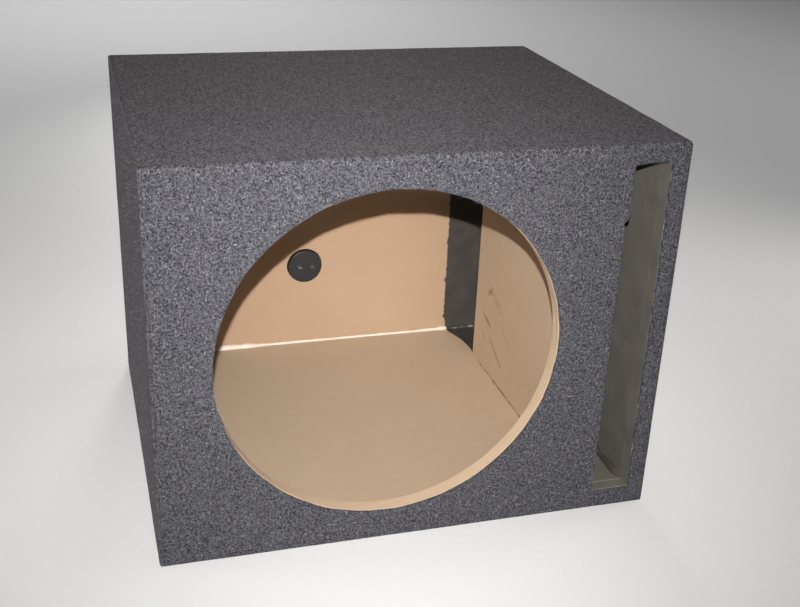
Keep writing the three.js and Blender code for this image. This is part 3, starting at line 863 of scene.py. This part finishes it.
def rear_panel():
    board = block("rear_board", rear_low, rear_high)
    hole = rod("cup_hole", TERMINAL - AWAY * 0.04, TERMINAL + AWAY * 0.01, TERMINAL_HOLE, 96)
    cut_away(board, hole)
    ease_edges(board, 0.35 * MM, 2)
    # The rear face is darkened and warmed: painted shade for the dimmer light at the back.
    face = painted_board("rear_face", paint_on_rear, REAR_COAT, warm=1.12, pale=0.84)
    board.data.materials.append(face)
    face_finish(board, cut_board("cup_hole_edge"),
                lambda f: abs(f.normal.y) < 0.8
                and (f.calc_center_median() - TERMINAL).length < TERMINAL_HOLE + 0.01)
    return finish_piece(board, "enclosure", "board", "back_panel")


def port_wall():
    board = block("port_wall_board", port_low, port_high)
    ease_edges(board, 0.4 * MM, 2)
    # The port wall is made paler: painted light.
    face = painted_board("port_wall_face", smudge=glue_on_port_wall, pale=1.15)
    board.data.materials.append(face)
    face_finish(board, painted_board("port_wall_painted", paint_everywhere, REAR_COAT),
                lambda f: f.normal.x > 0.5 or f.normal.y > 0.5)
    return finish_piece(board, "enclosure", "board", "port_wall")


def finish_plain_panels():
    """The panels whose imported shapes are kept."""
    finishes = {
        "bottom_panel": painted_board("floor_face", paint_on_floor, REAR_COAT, PORT_COAT,
                                      glue_at_wall_foot),
        # The ceiling and the left face are darkened: painted shade, which also dims the light
        # bounced on to the shadow under the cutout's rim.
        "top_panel": painted_board("ceiling_face", paint_past_port_wall, pale=0.75),
        "left_panel": painted_board("left_face", pale=0.75),
        "right_panel": painted_board("port_side_face", paint_everywhere),
    }
    for node, finish in finishes.items():
        repaint(node, finish)


def repaint(node, finish):
    part = frame["nodes"][node]
    part.data.materials.clear()
    part.data.materials.append(finish)


# ---------------------------------------------------------------- sealant


def fillet_run(node, along, lumps, finish, seed, press=(0.8, 0.8), taper=0):
    """Sealant pressed into a corner.

    Each lump is (middle, how much fatter, half length) and press is how much of the bead's
    size is left each way. The ends thin out over a taper. Lengths are in mm.
    """
    low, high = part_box(node)
    axes = [i for i in range(3) if i != along]
    middle = Vector((0, 0, MID_HEIGHT))
    into = [math.copysign(1, middle[i] - (low[i] + high[i]) / 2) for i in axes]
    corner = [low[i] if way > 0 else high[i] for i, way in zip(axes, into)]
    size = high[axes[0]] - low[axes[0]]
    start = low.copy()
    for i, c in zip(axes, corner):
        start[i] = c
    end = start.copy()
    end[along] = high[along]
    strip = rod(node + "_run", start, end, size, 32)
    slice_up(strip, along, 3.5 * MM)
    draw = random.Random(seed)
    shift = draw.uniform(0, 50)
    for v in strip.data.vertices:
        place = v.co[along]
        reach = [(v.co[i] - c) * way for i, c, way in zip(axes, corner, into)]
        fat = 1.0 + 0.20 * noise.noise(Vector((place * 60, shift, 0)))
        fat += 0.16 * noise.noise(Vector((place * 220, shift, reach[0] * 300)))
        for centre, more, half in lumps:
            fat += more * math.exp(-((place - centre * MM) / (half * MM)) ** 4)
        if taper:
            to_end = min(place - low[along], high[along] - place)
            fat *= min(1, 0.15 + to_end / (taper * MM))
        for i, c, way, r, share in zip(axes, corner, into, reach, press):
            v.co[i] = c + way * max(0.0, r) * fat * share
    hold(strip)
    bpy.ops.object.mode_set(mode="EDIT")
    bpy.ops.mesh.select_all(action="SELECT")
    bpy.ops.mesh.remove_doubles(threshold=0.00001)
    bpy.ops.mesh.dissolve_degenerate(threshold=0.00001)
    finish_edit()
    face_outwards(strip)
    smooth(strip, 60)
    strip.data.materials.append(finish)
    return finish_piece(strip, "enclosure", "sealant", node)


def run_sealant():
    """A bead in each inside corner."""
    white = sealant("white_sealant")
    rear_foot = sealant("rear_foot_sealant", paint_from=174 * MM)
    painted = sealant("painted_sealant", painted_all=True)
    blobs = [(-170, 1.2, 74), (-108, 0.5, 8), (148, 0.3, 10), (168, 0.9, 8), (190, 0.5, 6),
             (203, -0.35, 5), (216, 0.5, 5), (232, -0.2, 6)]
    fillet_run("bead_back_floor", 0, blobs, rear_foot, 1, (0.32, 0.40))
    fillet_run("bead_back_top", 0, [(40, 0.4, 15), (-150, 0.5, 30)], white, 2)
    fillet_run("bead_back_left", 2, [(120, 0.4, 12), (260, 0.3, 25)], white, 3)
    fillet_run("bead_left_floor", 1, [(60, 0.4, 15), (-90, 0.3, 20)], white, 4)
    fillet_run("bead_left_top", 1, [(-60, 0.3, 15)], white, 5)
    fillet_run("bead_port_floor", 1, [(-120, 0.35, 20), (60, 0.3, 14)], painted, 6,
               (0.95, 1.1), 16)
    fillet_run("bead_port_top", 1, [(20, 0.3, 15)], painted, 7)


# ---------------------------------------------------------------- terminal cup


def around_terminal(x, y, z):
    """A point in the cup's own frame, in mm: y from the carpet's face, outwards."""
    return TERMINAL + Vector((x, y, z)) * MM


def disc(name, start, end, radius):
    """A round slab on the cup's axis, from one y to another."""
    return rod(name, (TERMINAL.x, start, TERMINAL.z), (TERMINAL.x, end, TERMINAL.z), radius, 128)


def screw_place(count):
    """A flange screw's axis, as x and z, and the y of its tip and its head."""
    low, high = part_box(f"flange_screw_{count}")
    return (low.x + high.x) / 2, (low.z + high.z) / 2, low.y, high.y


def pocket(name, wide, tall, start, end, corner):
    """A block with round corners, seen along the cup's axis."""
    tub = block(name, (TERMINAL.x - wide / 2, start, TERMINAL.z - tall / 2),
                (TERMINAL.x + wide / 2, end, TERMINAL.z + tall / 2))
    select_where(tub, "edges", lambda e: abs(e.verts[0].co.y - e.verts[1].co.y) > MM)
    bpy.ops.mesh.bevel(offset=corner, segments=6, affect="EDGES")
    finish_edit()
    return tub


def cup_shell():
    """The flange with its lip, the collar round the levers, and the tub behind."""
    radius = (cup_high.x - cup_low.x) / 2
    sunk, rooted = CUP_FACE - 0.7 * MM, CUP_FACE - 1.2 * MM
    collar_wall = 3 * MM
    cup = disc("terminal_cup_shell", TERMINAL.y + 0.05 * MM, sunk, radius)
    lip = disc("lip", rooted, CUP_FACE, radius - 0.2 * MM)
    dish = disc("dish", sunk, CUP_FACE + MM, radius - 2.2 * MM)
    cut_away(lip, dish)
    collar = pocket("collar", POCKET_WIDE + 2 * collar_wall, POCKET_TALL + 2 * collar_wall, rooted,
                    CUP_FACE, 4 * MM)
    tub = disc("tub", TUB_END, CUP_FACE - 1.0 * MM, TUB_RADIUS)
    select_where(tub, "edges", lambda e: all(v.co.y < TUB_END + 0.1 * MM for v in e.verts))
    bpy.ops.mesh.bevel(offset=1.3 * MM, segments=5, affect="EDGES")
    finish_edit()
    ring = disc("ring", TUB_END - MM, TUB_END + 0.6 * MM, TUB_RADIUS - 1.5 * MM)
    add_on(cup, lip, collar, tub)
    return cut_away(cup, ring)


def fit_out_cup(cup):
    """The recess with its rib, the springs' posts, the lugs' slits and the axles' sockets."""
    recess = pocket("recess", POCKET_WIDE, POCKET_TALL, TUB_END + TUB_FLOOR, CUP_FACE + MM,
                    1.4 * MM)
    cut_away(cup, recess)
    rib = block("rib", around_terminal(-RIB_HALF, (TUB_END - BACK) / MM + 0.9, -12.0),
                around_terminal(RIB_HALF, -3, 12.0))
    add_on(cup, rib)
    for side in (-1, 1):
        add_on(cup, rod("spring_post", around_terminal(side * LEVER_X, -23.2, SPRING_Z),
                        around_terminal(side * LEVER_X, -19.4, SPRING_Z), 1.45 * MM, 32))
        slit = block("slit", around_terminal(side * LUG_X - 2.8, -25, 0.8),
                     around_terminal(side * LUG_X + 2.8, -21, 2.2))
        cut_away(cup, slit)
    pivot = (around_terminal(-18.5, PIVOT_Y, PIVOT_Z), around_terminal(18.5, PIVOT_Y, PIVOT_Z))
    cut_away(cup, rod("sockets", *pivot, 1.35 * MM, 32))


def terminal_cup():
    """The cup with its screw holes, and a raised + and - over the levers."""
    cup = cup_shell()
    fit_out_cup(cup)
    for count in range(1, 5):
        x, z = screw_place(count)[:2]
        shank = rod("shank_hole", (x, TERMINAL.y - 0.95 * MM, z), (x, CUP_FACE, z), 1.9 * MM, 32)
        sink = rod("sink", (x, CUP_FACE - 2.4 * MM, z), (x, CUP_FACE + 0.01 * MM, z),
                   1.7 * MM, 48, 3.9 * MM)
        cut_away(cup, shank, sink)
    for x, positive in ((LEVER_X, True), (-LEVER_X, False)):
        add_on(cup, block("mark", around_terminal(x - 2.5, 1.5, MARK_Z - 0.55),
                          around_terminal(x + 2.5, 2.30, MARK_Z + 0.55)))
        if positive:
            add_on(cup, block("mark", around_terminal(x - 0.55, 1.4, MARK_Z - 2.5),
                              around_terminal(x + 0.55, 2.36, MARK_Z + 2.5)))
    ease_edges(cup, 0.22 * MM, 2, 40)
    cup.data.materials.append(moulded("cup_plastic", (0.012, 0.012, 0.013), (0.02, 0.02, 0.022)))
    face_finish(cup, moulded("mark_paint", (0.36, 0.36, 0.35), (0.46, 0.46, 0.45), 0.6),
                lambda f: f.normal.y > 0.9 and f.calc_area() < 10 * MM * MM
                and 2.2 * MM < f.calc_center_median().y - BACK < 2.45 * MM
                and f.calc_center_median().z > TERMINAL.z + 16 * MM)
    return finish_piece(cup, "enclosure", "cup", "terminal_cup")


def lever(pole, side, slot, finish):
    """A rocker with a ridged, hollowed pad above its axle and the wire hole below."""
    x = side * LEVER_X
    left, right = x - LEVER_HALF, x + LEVER_HALF
    plate = block(f"lever_{pole}_rocker", around_terminal(left, LEVER_BACK, -10.5),
                  around_terminal(right, LEVER_FACE, 10.5))
    select_where(plate, "edges", lambda e: abs(e.verts[0].co.y - e.verts[1].co.y) > MM)
    bpy.ops.mesh.bevel(offset=1.2 * MM, segments=4, affect="EDGES")
    finish_edit()
    pad = block("pad", around_terminal(left + 0.8, LEVER_FACE - 0.5, 0.5),
                around_terminal(right - 0.8, -5.6, 9.9))
    dip = rod("dip", around_terminal(x - 9, 9.0, 5.2), around_terminal(x + 9, 9.0, 5.2),
              15.2 * MM, 96)
    cut_away(pad, dip)
    axle = rod("axle", around_terminal(left - 0.8, PIVOT_Y, PIVOT_Z),
               around_terminal(right + 0.8, PIVOT_Y, PIVOT_Z), 1.2 * MM, 32)
    seat = rod("seat", around_terminal(x, -10.4, SPRING_Z), around_terminal(x, -9, SPRING_Z),
               0.6 * MM, 32, 1.1 * MM)
    ridges = [block("ridge", around_terminal(left + 1.6, LEVER_FACE, z - 0.45),
                    around_terminal(right - 1.6, -4.85, z + 0.45)) for z in (2.5, 4.9, 7.3)]
    add_on(plate, pad, axle, seat, *ridges)
    bore = rod("bore", around_terminal(x, -11, WIRE_Z), around_terminal(x, -5, WIRE_Z),
               1.6 * MM, 40)
    funnel = rod("funnel", around_terminal(x, -7.6, WIRE_Z), around_terminal(x, -6.4, WIRE_Z),
                 1.6 * MM, 40, 2.9 * MM)
    cut_away(plate, bore, funnel)
    ease_edges(plate, 0.2 * MM, 2, 40)
    plate.data.materials.append(finish)
    return finish_piece(plate, f"lever_{pole}", slot, f"lever_{pole}")


def lever_spring(pole, side, finish):
    """A coil behind the lever's pad, against the cup's floor; the real one is squeezed as the lever
    is pressed.
    """
    foot, head, turns, wire = -22.05, -9.9, 5, 0.25
    clear()
    bpy.ops.mesh.primitive_circle_add(vertices=10, radius=wire * MM, location=(2.05 * MM, 0, 0))
    coil = bpy.context.object
    coil.name = f"lever_{pole}_coil"
    settle(coil)
    modify(coil, "SCREW", axis="Y", steps=22, render_steps=22, iterations=turns,
           screw_offset=(head - foot) * MM / turns)
    hold(coil)
    bpy.ops.object.mode_set(mode="EDIT")
    bpy.ops.mesh.select_all(action="SELECT")
    bpy.ops.mesh.fill_holes(sides=0)
    finish_edit()
    face_outwards(coil)
    coil.location = around_terminal(side * LEVER_X, foot, SPRING_Z)
    settle(coil)
    smooth(coil, 60)
    coil.data.materials.append(finish)
    finish_piece(coil, "enclosure", "spring", f"lever_spring_{pole}")
    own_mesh(coil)


def flange_screws():
    """Four countersunk screws with cross slots, each turned to its own angle."""
    neck, head = 1.6 * MM, 3.15 * MM
    finish = bare_metal("blacked_steel", (0.035, 0.035, 0.038), (0.06, 0.06, 0.065), 0.38)
    for count in range(1, 5):
        x, z, end, face = screw_place(count)
        screw = rod(f"flange_screw_{count}_turned", (x, face - 1.7 * MM, z),
                    (x, face - 0.25 * MM, z), neck, 48, head)
        dome = rod("dome", (x, face - 0.3 * MM, z), (x, face, z), head, 48, 2.3 * MM)
        shank = rod("shank", (x, face - 1.5 * MM, z), (x, end + 4 * MM, z), neck, 24)
        tip = rod("tip", (x, end + 4.1 * MM, z), (x, end, z), neck, 24, 0.15 * MM)
        add_on(screw, dome, shank, tip)
        for quarter in (0, math.pi / 2):
            slit = block("slit", (x - 1.9 * MM, face - 1.2 * MM, z - 0.45 * MM),
                         (x + 1.9 * MM, face + MM, z + 0.45 * MM))
            slit.location = Vector((x, 0, z))
            slit.data.transform(Matrix.Translation((-x, 0, -z)))
            slit.rotation_euler = (0, 0.5 + count + quarter, 0)
            cut_away(screw, settle(slit))
        ease_edges(screw, 0.12 * MM, 2, 40)
        screw.data.materials.append(finish)
        finish_piece(screw, "enclosure", "screw", f"flange_screw_{count}")


def finish_small_metal():
    """The contact strips and the brads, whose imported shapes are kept."""
    plated = bare_metal("tinned_strip", (0.62, 0.62, 0.60), (0.78, 0.78, 0.77), 0.28)
    galvanised = bare_metal("galvanised_brad", (0.5, 0.51, 0.52), (0.64, 0.65, 0.67), 0.4)
    for node in frame["nodes"]:
        if node.startswith("contact_"):
            repaint(node, plated)
        elif node.startswith("brad_"):
            repaint(node, galvanised)


# ---------------------------------------------------------------- the whole box

place_camera()
light_studio()
lay_floor()

charcoal = felt()
front_baffle()
rear_panel()
port_wall()
finish_plain_panels()
carpet_wrap(charcoal)
side_carpet("carpet_left", left_low, left_high, left_low.x, charcoal)
side_carpet("carpet_right", right_low, right_high, right_high.x, charcoal)
base_carpet(charcoal)
scatter_fibres()
run_sealant()
terminal_cup()
red = moulded("red_lever", (0.42, 0.008, 0.008), (0.50, 0.015, 0.012), 0.3)
black = moulded("black_lever", (0.010, 0.010, 0.011), (0.018, 0.018, 0.019), 0.3)
lever("positive", 1, "lever_red", red)
lever("negative", -1, "lever_black", black)
wire = bare_metal("spring_wire", (0.45, 0.45, 0.46), (0.6, 0.6, 0.62), 0.25)
lever_spring("positive", 1, wire)
lever_spring("negative", -1, wire)
flange_screws()
finish_small_metal()
